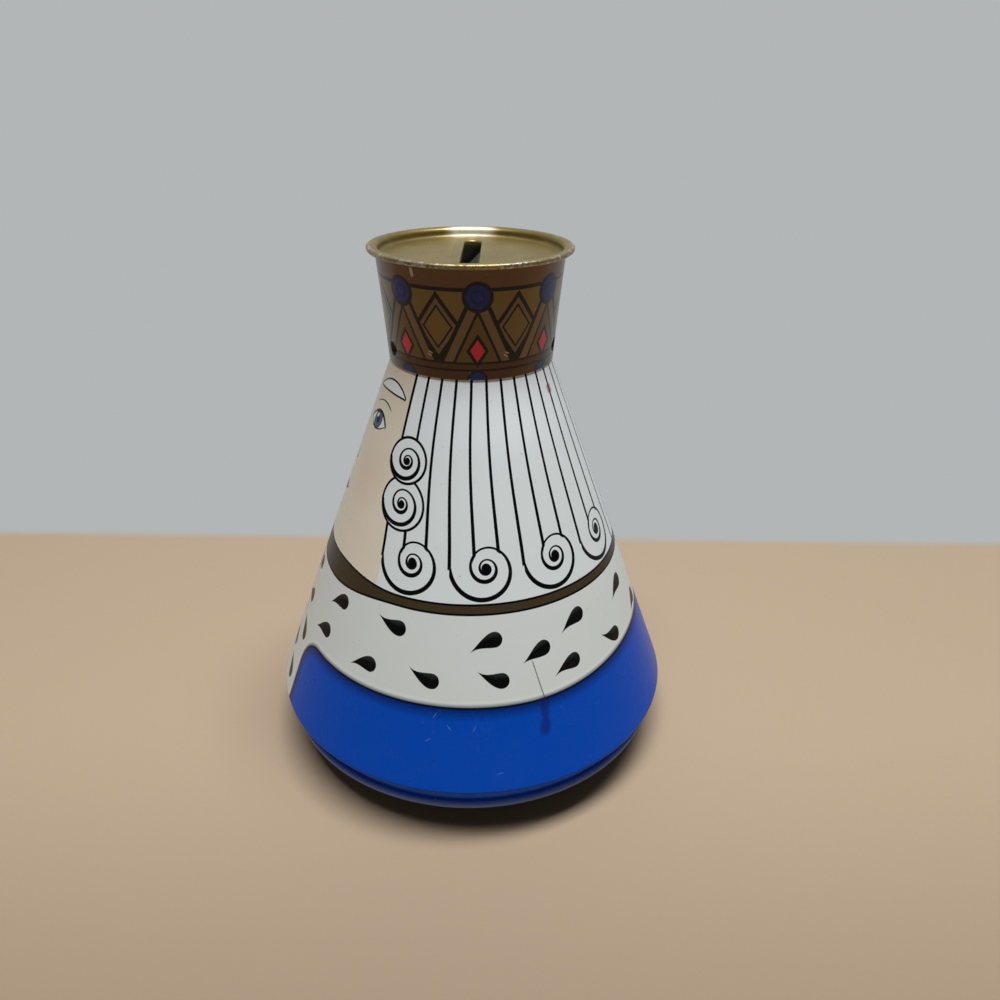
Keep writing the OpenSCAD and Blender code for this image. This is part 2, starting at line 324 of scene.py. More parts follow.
crown = {
    "foot": 90.0, "footMiddle": 16.45, "flare": 0.85, "dimpleUp": 3.3, "dimpleWidth": 2.9,
    "dimples": (-61.0, 76.0, 188.0), "denseTo": 6.2, "seamAngle": 180.0, "lapWidth": 3.0, "lapStep": 0.07,
    "lapTop": 108.0, "waveDepth": 0.02, "waveTop": 107.0, "columns": 540, "rings": 68,
}
crownTop = sheets["rimDiameter"] / 2 - sheets["rimReach"] - sheets["tin"] / 2


def crownMiddle(height):
    # The radius at the middle of the band's sheet, which is a parabola of the height
    share = (height - crown["foot"]) / (sheets["rimHeight"] - crown["foot"])
    bend = crown["flare"] * share + (1 - crown["flare"]) * share * share
    return crown["footMiddle"] + (crownTop - crown["footMiddle"]) * bend


# A dimple is a ball pressed in: its depth at a distance from the middle is the root of the ball's
# radius squared less the distance squared, less what the ball stands off.
dimpleZ = crown["foot"] + crown["dimpleUp"]
dimpleFace = crownMiddle(dimpleZ) + sheets["tin"] / 2
dimpleDeep = dimpleFace - sheets["tin"] - sheets["neckRadius"] - sheets["gripGap"]
dimpleBall = ((crown["dimpleWidth"] / 2) ** 2 + dimpleDeep ** 2) / (2 * dimpleDeep)


def crownPush(turn, radius, height):
    push = -crown["waveDepth"] * waves(turn, height, 9) * np.clip((crown["waveTop"] - height) / 4, 0, 1)
    for direction in crown["dimples"]:
        across = ((turn - math.radians(direction) + math.pi) % (2 * math.pi) - math.pi) * dimpleFace
        away = np.hypot(across, height - dimpleZ)
        dip = np.sqrt(np.clip(dimpleBall ** 2 - away ** 2, 0, None)) - (dimpleBall - dimpleDeep)
        push = push - np.clip(dip, 0, None)
    lap = ((turn - math.radians(crown["seamAngle"]) + math.pi) % (2 * math.pi) - math.pi) * radius
    step = np.clip(lap / 0.12 + 0.5, 0, 1) * np.clip(1 - lap / crown["lapWidth"], 0, 1)
    return push - crown["lapStep"] * step * np.clip((crown["lapTop"] - height) / 2, 0, 1)


denseTop = crown["foot"] + crown["denseTo"]
heights = np.concatenate([
    np.linspace(crown["foot"], denseTop, crown["rings"] // 2, endpoint=False),
    np.linspace(denseTop, bendHeight, crown["rings"] // 2)])
bendCentre = (crownMiddle(bendHeight) + bendMiddle, bendHeight)
bend = arcOf(bendCentre, bendMiddle, 180, 90, 10)
flange = straightOf(bend[-1], (foldRadius, sheets["rimHeight"]), 4)
line = np.concatenate([np.stack([crownMiddle(heights), heights], axis=1), bend[1:-1], flange,
                       [[foldRadius, sheets["rimHeight"]]]])
section, sides = sectionOf(line, sheets["tin"])
grid = revolve(section, columnsOf(crown["columns"], [crown["seamAngle"]], 2.0, 20), crownPush)
crownBand = pieceOf("crownBand", grid)
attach(crownBand, "crown")
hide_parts("crown_band")
print("crown surface made", len(crownBand.data.polygons), "faces")


# Slot lid: a dish with a turned-down slot, rolled over the crown's top edge

lid = {
    "recess": 1.8, "slotLength": 26.5, "slotWidth": 3.5, "lip": 0.8, "slotRadius": 0.3, "corner": 0.9,
    "edgeWave": 0.06, "columns": 420,
}


def slotOutline(share, out):
    # A slot with round ends, walked round once as share goes from 0 to 1, at a distance outside its edge:
    # the walk passes half an end, a straight side, an end, a side and half an end.
    half = (lid["slotLength"] - lid["slotWidth"]) / 2
    radius = lid["slotWidth"] / 2
    around = (share % 1) * (4 * half + 2 * math.pi * radius)
    quarter = math.pi * radius / 2
    stops = np.cumsum([0, quarter, 2 * half, 2 * quarter, 2 * half, quarter])
    turn = np.interp(around, stops, np.radians([0, 90, 90, 270, 270, 360]))
    along = np.interp(around, stops, [half, half, -half, -half, half, half])
    reach = radius + out
    return np.stack([along + reach * np.cos(turn), reach * np.sin(turn)], axis=-1)


def lidGrid():
    # Each row is the slot's outline moved out, mixed towards a circle: none of it at the slot's edge and
    # all of it from the dish's corner on. The rows follow the line of the lid's section outwards.
    tin = sheets["tin"]
    floorZ = sheets["rimHeight"] + foldMiddle - lid["recess"]
    wallFoot = crownMiddle(floorZ + lid["corner"]) - tin - sheets["seamGap"]
    share = np.linspace(0, 1, lid["columns"], endpoint=False)
    turn = share * 2 * math.pi

    def skin(side):
        out = side * tin / 2
        bend = lid["slotRadius"]
        lipZ = np.linspace(floorZ - lid["lip"], floorZ - bend, 4, endpoint=False)
        lipRows = [(tin / 2 - out, z, 0.0) for z in lipZ]
        bendTurn = np.radians(np.linspace(180, 90, 7))
        bendRows = [(tin / 2 + bend + (bend + out) * np.cos(t), floorZ - bend + (bend + out) * np.sin(t), 0.0)
                    for t in bendTurn]
        slotRows = np.stack([np.concatenate([slotOutline(share, row[0]), np.full((len(share), 1), row[1])], axis=1)
                             for row in [*lipRows, *bendRows]])
        start = slotRows[-1, :, :2]
        cornerR, cornerZ = wallFoot - lid["corner"], floorZ + lid["corner"]
        stop = np.stack([np.cos(turn), np.sin(turn)], axis=1) * cornerR
        floorMix = np.linspace(0, 1, 16)[1:, None, None]
        flat = start[None] * (1 - floorMix) + stop[None] * floorMix
        flatRows = np.concatenate([flat, np.full((*flat.shape[:2], 1), floorZ + out)], axis=-1)
        wall = np.concatenate([
            arcOf((cornerR, cornerZ), lid["corner"] - out, -90, -4, 8)[1:],
            arcOf(bendCentre, bendMiddle + foldMiddle + out, 180, 90, 6),
            arcOf((foldRadius, sheets["rimHeight"]), foldMiddle + out, 90, -90, 10),
            [[bendCentre[0], sheets["rimHeight"] - foldMiddle - out]]])
        hand = lid["edgeWave"] * waves(turn * 4, 0, 2)
        radius = wall[:, :1] - hand * np.clip((wall[:, :1] - bendCentre[0]) / (foldRadius - bendCentre[0]), 0, 1)
        round3 = np.stack([radius * np.cos(turn), radius * np.sin(turn),
                           np.repeat(wall[:, 1:], len(turn), axis=1)], axis=-1)
        return np.concatenate([slotRows, flatRows, round3])

    return np.concatenate([skin(1), skin(-1)[::-1]])


slotLid = pieceOf("slotLid", lidGrid())
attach(slotLid, "crown")
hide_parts("slot_lid")
print("lid surface made", len(slotLid.data.polygons), "faces")


# Base pan: the shallow dome that the bank rocks on

pan = {"standDiameter": 9.0, "columns": 300, "rings": 60}


def panLine():
    # The middle of the pan's sheet outwards: a flat to stand on, a dome that meets the rim and whose centre
    # is as far from the flat's edge as from the rim's, and the flat rim inside the bead.
    thick = sheets["pan"]
    middleZ = thick / 2
    bendR = beadRadius - beadMiddle - thick
    standR = pan["standDiameter"] / 2
    domeZ = ((bendR ** 2 - standR ** 2 + sheets["baseDepth"] ** 2 - middleZ ** 2)
             / (2 * (sheets["baseDepth"] - middleZ)))
    domeR = math.hypot(standR, domeZ - middleZ)
    start, stop = math.asin(standR / domeR), math.asin(bendR / domeR)
    dome = arcOf((0, domeZ), domeR, math.degrees(start) - 90, math.degrees(stop) - 90,
                 math.degrees(stop - start) / pan["rings"])
    flat = straightOf((0, middleZ), dome[0], 5)
    rim = straightOf(dome[-1], (beadRadius, sheets["baseDepth"]), 4)[1:]
    return np.concatenate([flat, dome, rim, [[beadRadius, sheets["baseDepth"]]]])


section, sides = sectionOf(panLine(), sheets["pan"], fromAxis=True)
basePan = pieceOf("basePan", revolve(section, columnsOf(pan["columns"])), loop=False)
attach(basePan, "body")
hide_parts("base_pan")
print("pan surface made", len(basePan.data.polygons), "faces")


# The print on the cone. Its heights are counted from printLevel.

printLevel = 1.15
coneInks = {
    # The palest hair ink is a painted light, for hair that lies in the crown's shade.
    "hair": ink(233, 238, 236), "hairPaintedLight": ink(250, 254, 255), "line": ink(12, 12, 14), "skin": ink(238, 224, 202),
    "blush": ink(220, 178, 158), "lips": ink(150, 82, 74), "iris": ink(88, 104, 118), "brow": ink(240, 244, 242),
    "gold": ink(70, 57, 36), "ermine": ink(228, 231, 226), "ermineEdge": ink(240, 242, 236),
    "spotLight": ink(58, 70, 64), "hemShade": ink(50, 70, 74), "gem": ink(26, 40, 104), "robe": ink(4, 78, 192),
    # The tuck's blue here and the bead's two inks on the next line are painted light: lighter blues where the sheet
    # lies in shade, and a painted highlight line.
    "robeWorn": ink(10, 80, 190), "robeDeep": ink(3, 16, 58), "tuck": ink(44, 104, 220),
    "beadPaintedLight": ink(118, 146, 212), "beadHighlight": ink(110, 122, 160), "nick": ink(150, 172, 210),
    "stain": ink(24, 22, 88), "mark": ink(190, 70, 84), "dirt": ink(70, 62, 52), "tin": ink(168, 168, 164),
    "inside": ink(150, 148, 138),
}


def wallRadius(up):
    # The cone's radius at a height of the print, which grows evenly from the top down
    return sheets["topDiameter"] / 2 + (sheets["seat"] - printLevel - up) * math.tan(coneSlope)


def curl(finish, across, up, radius, shrink, width):
    # A scroll: its line starts on the left side at the radius, goes down, round to the right and up, and is
    # shrink times as far from the middle after each turn. The count of turns inwards is the logarithm to
    # the base shrink of the distance over the radius, less the share of the turn, and the line runs where
    # it is whole. It is broadest where it swings under. Gives the line, and what the scroll covers.
    far = finish.length(across, up).high(0.02)
    turned = (finish.angle(up, across) / (2 * math.pi) + 0.5).part()
    count = finish.node("Math", {"operation": "LOGARITHM"}, far / radius, shrink) - turned
    apart = far * math.log(1 / shrink)
    cover = (count * apart + width / 2).inside()
    gap = abs((count + 0.5).part() - 0.5) * apart
    thick = width * (0.6 + 0.5 * far / radius) * (1 - 0.4 * up / far)
    coil = (thick / 2 - gap).inside() * cover
    eye = (radius * 0.13 - far).inside()
    return coil.high(eye), (count * apart - width / 2).inside()


# Hair. A lock is the radius and the height of a scroll at the cheek.

hair = {
    "edge": 53.0, "strands": 13, "lineWidth": 0.58, "thinFrom": 66.0, "sway": 1.3, "paintedLightFrom": 80.0,
    "curlRadius": 7.2, "curlShrink": 0.42, "curlWidth": 0.75, "curlHeight": 55.2, "curlFoot": 29.0, "curlEvery": 3,
    "curls": 4, "locks": ((4.9, 65.3), (4.2, 73.2)), "lockOut": 0.55, "lockWidth": 0.66, "lockRing": 0.5,
}


def drawHair(finish, side, radius, z):
    # Strand lines that sway a little together, a row of scrolls along the collar and two at the cheek, on hair with
    # painted light that makes it paler near the crown.
    # Gives the colour, the angle past the hair's edge, and the lines and the cover of the cheek's scrolls.
    sway = finish.node("Math", {"operation": "SINE"}, z * 0.13 + 1.1) * math.radians(hair["sway"])
    pitch = math.radians((180 - hair["edge"]) / hair["strands"])
    fan = side - math.radians(hair["edge"]) - sway * (1 - (side - 0.9) * 0.45)
    strand = fan / pitch
    strandGap = abs((strand + 0.5).part() - 0.5) * pitch * radius
    width = hair["lineWidth"] * (1.25 - 0.35 * finish.above(z, hair["thinFrom"], 14.0))
    lastCell = (strand - hair["curls"] * hair["curlEvery"] + 0.25).inside(0.02)
    overCurls = (z - hair["curlHeight"] + 0.4).inside(0.3)
    strandLine = (width / 2 - strandGap).inside() * (strand + 0.3).inside(0.1) * overCurls.high(lastCell)

    group = (strand / hair["curlEvery"]).low(hair["curls"] - 0.02).high(0.0)
    cell = finish.node("Math", {"operation": "FLOOR"}, group)
    across = (strand - cell * hair["curlEvery"]) * pitch * hair["curlFoot"] - hair["curlRadius"]
    up = z - hair["curlHeight"]
    rowLine, rowCover = curl(finish, across, up, hair["curlRadius"], hair["curlShrink"], hair["curlWidth"])
    rowLine, rowCover = rowLine * (1 - lastCell), rowCover * (1 - lastCell)

    lockLine, lockCover = rowLine * 0.0, rowLine * 0.0
    for lockRadius, lockHeight in hair["locks"]:
        across = fan * wallRadius(lockHeight) - lockRadius * hair["lockOut"]
        up = z - lockHeight
        coil = curl(finish, across, up, lockRadius, hair["curlShrink"], hair["lockWidth"])[0]
        inRing = lockRadius - finish.length(across, up)
        lockLine = (lockLine * (1 - inRing.inside())).high(coil.high(inRing.stroke(hair["lockRing"])))
        lockCover = lockCover.high(inRing.inside())

    lines = (strandLine * (1 - rowCover) * (1 - lockCover)).high(rowLine * (1 - lockCover)).high(lockLine)
    # Painted light: the hair turns paler towards the crown, where the crown's shade falls on it.
    hairAndPaintedLight = finish.mix(finish.above(z, hair["paintedLightFrom"], 7.0), coneInks["hair"], coneInks["hairPaintedLight"])
    return finish.mix(lines, hairAndPaintedLight, coneInks["line"]), fan, lockLine, lockCover, overCurls


# Features of the face: how far out from its middle line and how high, and then a radius or a bow

visage = {
    "cheek": (14.0, 67.0, 5.5), "bridge": (2.3, 78.0), "bridgeFoot": 71.0, "eye": (9.0, 77.3), "eyeHalf": 3.9,
    "upperBow": 2.1, "lowerBow": 1.4, "irisUp": 77.7, "irisRadius": 1.75, "pupilRadius": 0.8,
    "gleam": (8.4, 78.4, 0.42), "crease": (9.2, 80.3, 1.3), "brow": (9.6, 83.6, 1.3), "browHalf": 5.6,
    "browThick": 1.15, "wing": (2.6, 68.0, 1.35), "tipUp": 66.2, "mouthUp": 60.6, "mouthHalf": 5.6,
    "lipUpper": 1.25, "lipLower": 1.75, "chinUp": 54.6,
}


def drawFace(finish, arc, z):
    # Plain features, drawn from rings and from parabolas, which are one less a share squared
    inks = coneInks
    out, up, reach = visage["cheek"]
    cheek = finish.above(reach - finish.length(arc - out, z - up), 0.0, 5.0) * 0.25
    colour = finish.mix(cheek, inks["skin"], inks["blush"])
    out, up = visage["bridge"]
    bridge = (arc - out - (up - z) * 0.06).stroke(0.5, 0.9) * finish.above(z, visage["bridgeFoot"], 1.5) * 0.3
    colour = finish.mix(bridge, colour, inks["dirt"])

    out, up = visage["eye"]
    eyeAt = (arc - out) / visage["eyeHalf"]
    bow = 1 - eyeAt * eyeAt
    upper, lower = z - up - visage["upperBow"] * bow, z - up + visage["lowerBow"] * bow
    eyeball = (-upper).inside() * lower.inside() * bow.inside(0.1)
    colour = finish.mix(eyeball, colour, inks["hair"])
    irisAway = finish.length(arc - out, z - visage["irisUp"])
    colour = finish.mix((visage["irisRadius"] - irisAway).inside() * eyeball, colour, inks["iris"])
    irisRing = (irisAway - visage["irisRadius"]).stroke(0.3)
    pupil = (visage["pupilRadius"] - irisAway).inside().high(irisRing) * eyeball
    colour = finish.mix(pupil, colour, inks["line"])
    near = (4.5 - abs(arc - out)).inside(0.3)
    lids = (upper.stroke(0.6) * near * (bow + 0.12).inside(0.1)).high(lower.stroke(0.28) * (bow - 0.1).inside(0.3))
    out, up, reach = visage["gleam"]
    gleam = (reach - finish.length(arc - out, z - up)).inside()
    colour = finish.mix(gleam * eyeball, colour, inks["hair"])
    out, up, rise = visage["crease"]
    creaseLine = z - up - rise * (1 - ((arc - out) / visage["eyeHalf"]) ** 2.0)
    crease = creaseLine.stroke(0.25) * (3.4 - abs(arc - out)).inside(0.6)

    out, up, rise = visage["brow"]
    browAt = (arc - out) / visage["browHalf"]
    browLine = z - up - rise * (1 - browAt * browAt)
    browHalf = visage["browThick"] * (1 - browAt * browAt * 0.9).high(0.0)
    brow = (browHalf - abs(browLine)).inside() * (1 - abs(browAt)).inside(0.05)
    browEdge = (abs(browLine) - browHalf).stroke(0.34) * (1.02 - abs(browAt)).inside(0.05)
    colour = finish.mix(brow, colour, inks["brow"])

    out, up, reach = visage["wing"]
    wing = (finish.length(arc - out, z - up) - reach).stroke(0.34) * (arc - 2.2 - (z - 67.6) * 0.5).inside(0.5)
    tip = (z - visage["tipUp"] - arc * arc * 0.16).stroke(0.36) * (2.0 - arc).inside(0.4)

    mouthBow = (1 - arc * arc / 30.0).high(0.0)
    midLip = z - visage["mouthUp"] + (1 - arc * arc / 9.0).high(0.0) * 0.35
    notch = 0.35 * (1 - arc / 1.4).high(0.0)
    lips = (visage["lipUpper"] * mouthBow - notch - midLip).inside()
    lips = lips * (midLip + visage["lipLower"] * mouthBow).inside() * (mouthBow - 0.02).inside(0.05)
    colour = finish.mix(lips, colour, inks["lips"])
    mouth = midLip.stroke(0.32) * (visage["mouthHalf"] - arc).inside(0.4)
    chin = (z - visage["chinUp"] - arc * arc * 0.06).stroke(0.3) * (2.6 - arc).inside(0.8)
    drawn = lids.high(crease).high(browEdge).high(wing).high(tip).high(mouth).high(chin)
    return finish.mix(drawn, colour, inks["line"])


# Robe. A row of drops is a radius, a height, a start, a pitch, a seed and a tilt, and a drop alone is an
# angle, a radius, a height, a tilt and a bend. The clasp's radii go inwards.

robe = {
    "ringTop": 48.5, "ringBottom": 46.7, "ringRise": 1.4, "ringDrop": 1.6, "ringWide": (47.0, 18.0),
    "hem": 29.2, "hemRise": 2.7, "hemWide": (140.0, 34.0), "frontEdge": 23.0, "corner": 7.0,
    "spotRadius": 1.5, "spotTail": 5.3, "claspUp": 41.0, "clasp": (3.6, 3.15, 2.05, 1.7),
    "rows": ((33.6, 42.6, 39.0, 30.0, 3.0, 5.0), (36.7, 34.4, 12.3, 22.5, 8.0, -2.0)),
    "drops": ((115.5, 35.0, 38.8, 15.0, 1.0), (18.0, 39.4, 27.0, -50.0, 1.5), (9.5, 41.6, 21.5, -62.0, 1.5),
              (16.5, 43.2, 16.4, -48.0, 1.5)),
}


def spot(finish, across, up, tilt, bend):
    # A drop: half as wide as a circle before the head's middle, and behind it narrowing smoothly to the
    # tail's tip, which is one less the way squared, times one more than twice the way. Its middle line
    # bends aside as a parabola.
    cos, sin = math.cos(math.radians(tilt)), math.sin(math.radians(tilt))
    ahead = across * cos + up * sin
    aside = up * cos - across * sin
    back = (-ahead / robe["spotTail"]).high(0.0).low(1.0)
    front = (ahead / robe["spotRadius"]).high(0.0).low(1.0)
    half = robe["spotRadius"] * (1 - front * front) ** 0.5 * (1 - back) * (1 - back) * (1 + 2 * back)
    bent = aside + back * back * bend
    shape = (half - abs(bent)).inside(0.1) * (half - 0.03).inside(0.06)
    return shape, (bent - 0.75).inside(0.9) * shape


def spotRow(finish, side, z, radius, up, start, pitch, seed, tilt):
    # One row of drops: the angle is cut into cells, and each cell moves its drop a little.
    cell = (side - math.radians(start)) / math.radians(pitch) + 0.5
    count = finish.node("Math", {"operation": "FLOOR"}, cell)
    shift = finish.node("TexWhiteNoise", {"noise_dimensions": "1D"}, W=count + seed)
    lift = finish.node("TexWhiteNoise", {"noise_dimensions": "1D"}, W=count + (seed + 31.7))
    across = (cell - count - 0.5 - (shift - 0.5) * 0.16) * math.radians(pitch) * radius
    bend = (shift - 0.5).inside(0.01) * 4.4 - 2.2
    return spot(finish, across, z - up - (lift - 0.5) * 1.4, tilt, bend)


def drawRobe(finish, side, arc, radius, z):
    # Ermine with drop-shaped spots over the shoulders and down the front, and one deep blue under its hem
    inks = coneInks
    wideAt, wideSoft = (math.radians(angle) for angle in robe["hemWide"])
    hem = robe["hem"] + robe["hemRise"] * finish.above(side, wideAt, wideSoft)
    corner = robe["corner"]
    cornerX = corner - arc + math.radians(robe["frontEdge"]) * radius
    cornerZ = corner - hem + z
    inRobe = corner - finish.length(cornerX.high(0.0), cornerZ.high(0.0)) - cornerX.high(cornerZ).low(0.0)
    ermine = finish.mix((inRobe + 1.0).stroke(0.5, 0.5) * 0.6, inks["ermine"], inks["ermineEdge"])

    made = [spotRow(finish, side, z, *row) for row in robe["rows"]]
    for angle, reach, up, tilt, bend in robe["drops"]:
        made.append(spot(finish, (side - math.radians(angle)) * reach, z - up, tilt, bend))
    spots, gleams = made[0]
    for shape, light in made[1:]:
        spots, gleams = spots.high(shape), gleams.high(light)
    spotInk = finish.mix(gleams * 0.5, inks["line"], inks["spotLight"])
    clasp = finish.length(arc, z - robe["claspUp"])
    ermine = finish.mix(spots * (clasp - 4.6).inside(), ermine, spotInk)
    ermine = finish.mix((arc - 0.2).stroke(1.6, 1.6) * 0.4, ermine, inks["hemShade"])
    ermine = finish.mix(arc.stroke(0.45) * (clasp - robe["clasp"][0]).inside(), ermine, inks["line"])
    for reach, name in zip(robe["clasp"], ("line", "gold", "line", "gem")):
        ermine = finish.mix((reach - clasp).inside(), ermine, inks[name])

    blue = finish.mix(finish.above(finish.speckle(0.05, 2.0), 0.5, 0.3) * 0.3, inks["robe"], inks["robeWorn"])
    blue = finish.mix((1.5 - inRobe).inside(2.4) * 0.75, blue, inks["robeDeep"])
    cloak = finish.mix((inRobe + 0.35).inside(0.9), ermine, inks["hemShade"])
    cloak = finish.mix(inRobe.inside(0.2), cloak, blue)
    return finish.mix((inRobe - 0.14).stroke(0.42, 0.14) * 0.9, cloak, inks["line"])


# Wear on the cone, and painted light on its tuck and bead. A nick is an angle, a height above the table and a lean.

wearAndPaintedLight = {
    "scarAngle": 113.4, "scarUp": 32.6, "scarHalf": 4.2, "stainUp": 25.8, "stainHalf": 3.6, "markAngle": 150.5,
    "markUp": 84.6, "grooveTop": 13.2, "beadTop": 9.35, "beadHighlight": 8.15, "beadRub": 8.9,
    "nicks": ((81.0, 28.6, 55.0), (79.5, 23.8, 35.0), (85.2, 26.5, -50.0), (92.4, 26.4, 60.0), (99.0, 17.5, 10.0)),
}


def coneWearAndPaintedLight(finish, colour, around, radius, z, below):
    # Hair lines, specks, a long scratch over the hem with a stain that runs down from it, nicks, a red mark,
    # ink rubbed off the bead and off the seam's crease, and painted light: a lighter blue in the shaded tuck
    # and on the bead, and a painted highlight line along the bead's lower edge
    inks = coneInks
    hairLines = finish.scratches(1.0, 0.012, (0.3, 1.1, 0.2), 0.5).high(
        finish.scratches(2.3, 0.01, (1.2, -0.7, 0.5), 0.45))
    colour = finish.mix(hairLines * 0.04, colour, inks["tin"])
    specks = finish.above(finish.speckle(1.9, 1.0), 0.79, 0.015) * finish.above(finish.speckle(0.13), 0.48, 0.1)
    colour = finish.mix(specks * 0.75, colour, inks["dirt"])

    scarAside = (around - math.radians(wearAndPaintedLight["scarAngle"])) * 37.5 - (30.0 - z) * 0.22
    scar = scarAside.stroke(0.22) * (wearAndPaintedLight["scarHalf"] - abs(z - wearAndPaintedLight["scarUp"])).inside(0.8)
    stainWave = (finish.speckle(0.5, 1.0) - 0.5) * 1.2
    stain = (0.85 + stainWave - abs(scarAside + (29.0 - z) * 0.35)).inside(0.6)
    stain = stain * (wearAndPaintedLight["stainHalf"] - abs(z - wearAndPaintedLight["stainUp"])).inside(0.9)
    colour = finish.mix(scar * 0.8, colour, inks["dirt"])
    colour = finish.mix(stain * below * 0.55, colour, inks["stain"])
    for angle, height, lean in wearAndPaintedLight["nicks"]:
        across, up = (around - math.radians(angle)) * 40.0, finish.z - height
        cos, sin = math.cos(math.radians(lean)), math.sin(math.radians(lean))
        along, aside = across * cos + up * sin, up * cos - across * sin
        nick = aside.stroke(0.12, 0.1) * (0.5 - abs(along)).inside(0.7)
        colour = finish.mix(nick * 0.45, colour, inks["nick"])
    markAside = abs(around - math.radians(wearAndPaintedLight["markAngle"])) * 17.0
    mark = (markAside - 0.45).stroke(0.5, 0.3) * (0.8 - abs(z - wearAndPaintedLight["markUp"])).inside(0.4)
    colour = finish.mix(mark * 0.7, colour, inks["mark"])

    # Painted light: the tuck under the shoulder and the bead get lighter blues than their shade would show.
    colour = finish.mix(finish.above(wearAndPaintedLight["grooveTop"] - finish.z, 0.0, 0.4), colour, inks["tuck"])
    colour = finish.mix(finish.above(wearAndPaintedLight["beadTop"] - finish.z, 0.0, 0.25) * 0.8, colour, inks["beadPaintedLight"])
    # A painted highlight line along the bead's lower edge.
    edge = finish.above(-abs(finish.z - wearAndPaintedLight["beadHighlight"]), -0.3, 0.25)
    colour = finish.mix(edge * 0.7, colour, inks["beadHighlight"])
    chip = finish.speckle(0.9, 4.0, 0.62)
    beadRub = finish.above(-abs(finish.z - wearAndPaintedLight["beadRub"]), -0.7, 0.35) * finish.above(chip, 0.68, 0.03)
    seamRub = (radius * abs(finish.angle(finish.x, finish.y))).stroke(0.5, 0.3) * finish.above(chip, 0.47, 0.06)
    topRub = finish.above(finish.z, sheets["seat"] - 0.2, 0.15) * finish.above(chip, 0.68, 0.03)
    bare = beadRub.high(seamRub).high(topRub)
    return finish.mix(bare, colour, inks["tin"]), bare, specks, hairLines


def printCone():
    finish = Finish("printedTin")
    inks = coneInks
    radius = finish.length(finish.x, finish.y)
    around = finish.angle(finish.x, -finish.y)
    side = abs(around)
    z = finish.z - printLevel
    arc = side * radius

    colour, fan, lockLine, lockCover, overCurls = drawHair(finish, side, radius, z)
    skin = (-fan * radius).inside() * (1 - lockCover) * (1 - lockLine)
    colour = finish.mix(skin, colour, drawFace(finish, arc, z))
    edgeLine = (fan * radius).stroke(0.6) * (1 - lockCover) * overCurls
    colour = finish.mix(edgeLine, colour, inks["line"])

    # Collar ring, wider in front
    wideAt, wideSoft = (math.radians(angle) for angle in robe["ringWide"])
    front = 1 - finish.above(side, wideAt, wideSoft)
    ringTop = z - robe["ringTop"] - robe["ringRise"] * front
    ringBottom = z - robe["ringBottom"] + robe["ringDrop"] * front
    below = (-ringBottom).inside()
    ringInk = finish.mix(finish.above(finish.speckle(1.4, 3.0), 0.5, 0.2) * 0.35, inks["gold"], inks["dirt"])
    colour = finish.mix(below, colour, drawRobe(finish, side, arc, radius, z))
    colour = finish.mix((-ringTop).inside() * ringBottom.inside(), colour, ringInk)
    colour = finish.mix(ringTop.stroke(0.42).high(ringBottom.stroke(0.42)), colour, inks["line"])
    colour, bare, specks, hairLines = coneWearAndPaintedLight(finish, colour, around, radius, z, below)

    # The inside of the sheet is plain lacquered tin
    within = (wallRadius(z) - sheets["tin"] * 0.53 - radius).inside(0.1) * finish.above(finish.z, 15.2, 0.3)
    bare = bare.high(within)
    colour = finish.mix(within, colour, inks["inside"])

    smudge = finish.speckle(0.07, 4.0, 0.6)
    rough = 0.2 + smudge * 0.16 + specks * 0.3 + hairLines * 0.15 + bare * 0.1
    relief = finish.speckle(0.11, 1.0) * 0.6 + finish.speckle(1.6, 1.0) * 0.02
    finish.dress(printedCone, Base_Color=colour, Roughness=rough, Metallic=bare * 0.85, Specular_IOR_Level=0.06,
                 Coat_Weight=0.05, Coat_Roughness=0.09, Normal=finish.bump(relief, 0.35, 0.35))


printCone()
print("cone printed")


# The print on the crown: spikes, gems and lozenges, again and again round the band. Heights are counted
# from its foot.

crownInks = {
    "ground": ink(104, 75, 48), "strip": ink(116, 95, 70), "golden": ink(120, 100, 57), "spike": ink(104, 84, 50),
    "line": ink(20, 10, 10), "foot": ink(84, 61, 41), "gem": ink(20, 40, 118), "gemRing": ink(10, 16, 58),
    "red": ink(214, 48, 68), "pale": ink(196, 178, 150), "tin": ink(176, 172, 160), "inside": ink(150, 148, 138),
}
tiles = {
    "pitch": 49.1, "start": 6.0, "slope": 0.448, "spike": 13.0, "spikeOut": 18.3, "band": 16.95,
    "lines": (3.25, 1.86), "gemUp": 15.65, "gemRadius": 2.85, "gemRing": 1.15, "footGemUp": -0.1,
    "footGemRadius": 2.0, "redUp": 5.65, "redHalf": (1.35, 2.15), "redRim": 0.62, "lozengeUp": 10.0,
    "lozengeHalf": (4.25, 5.95), "lozengeRim": 1.2, "dash": (5.5, 4.7), "flake": (-33.0, 19.4),
}


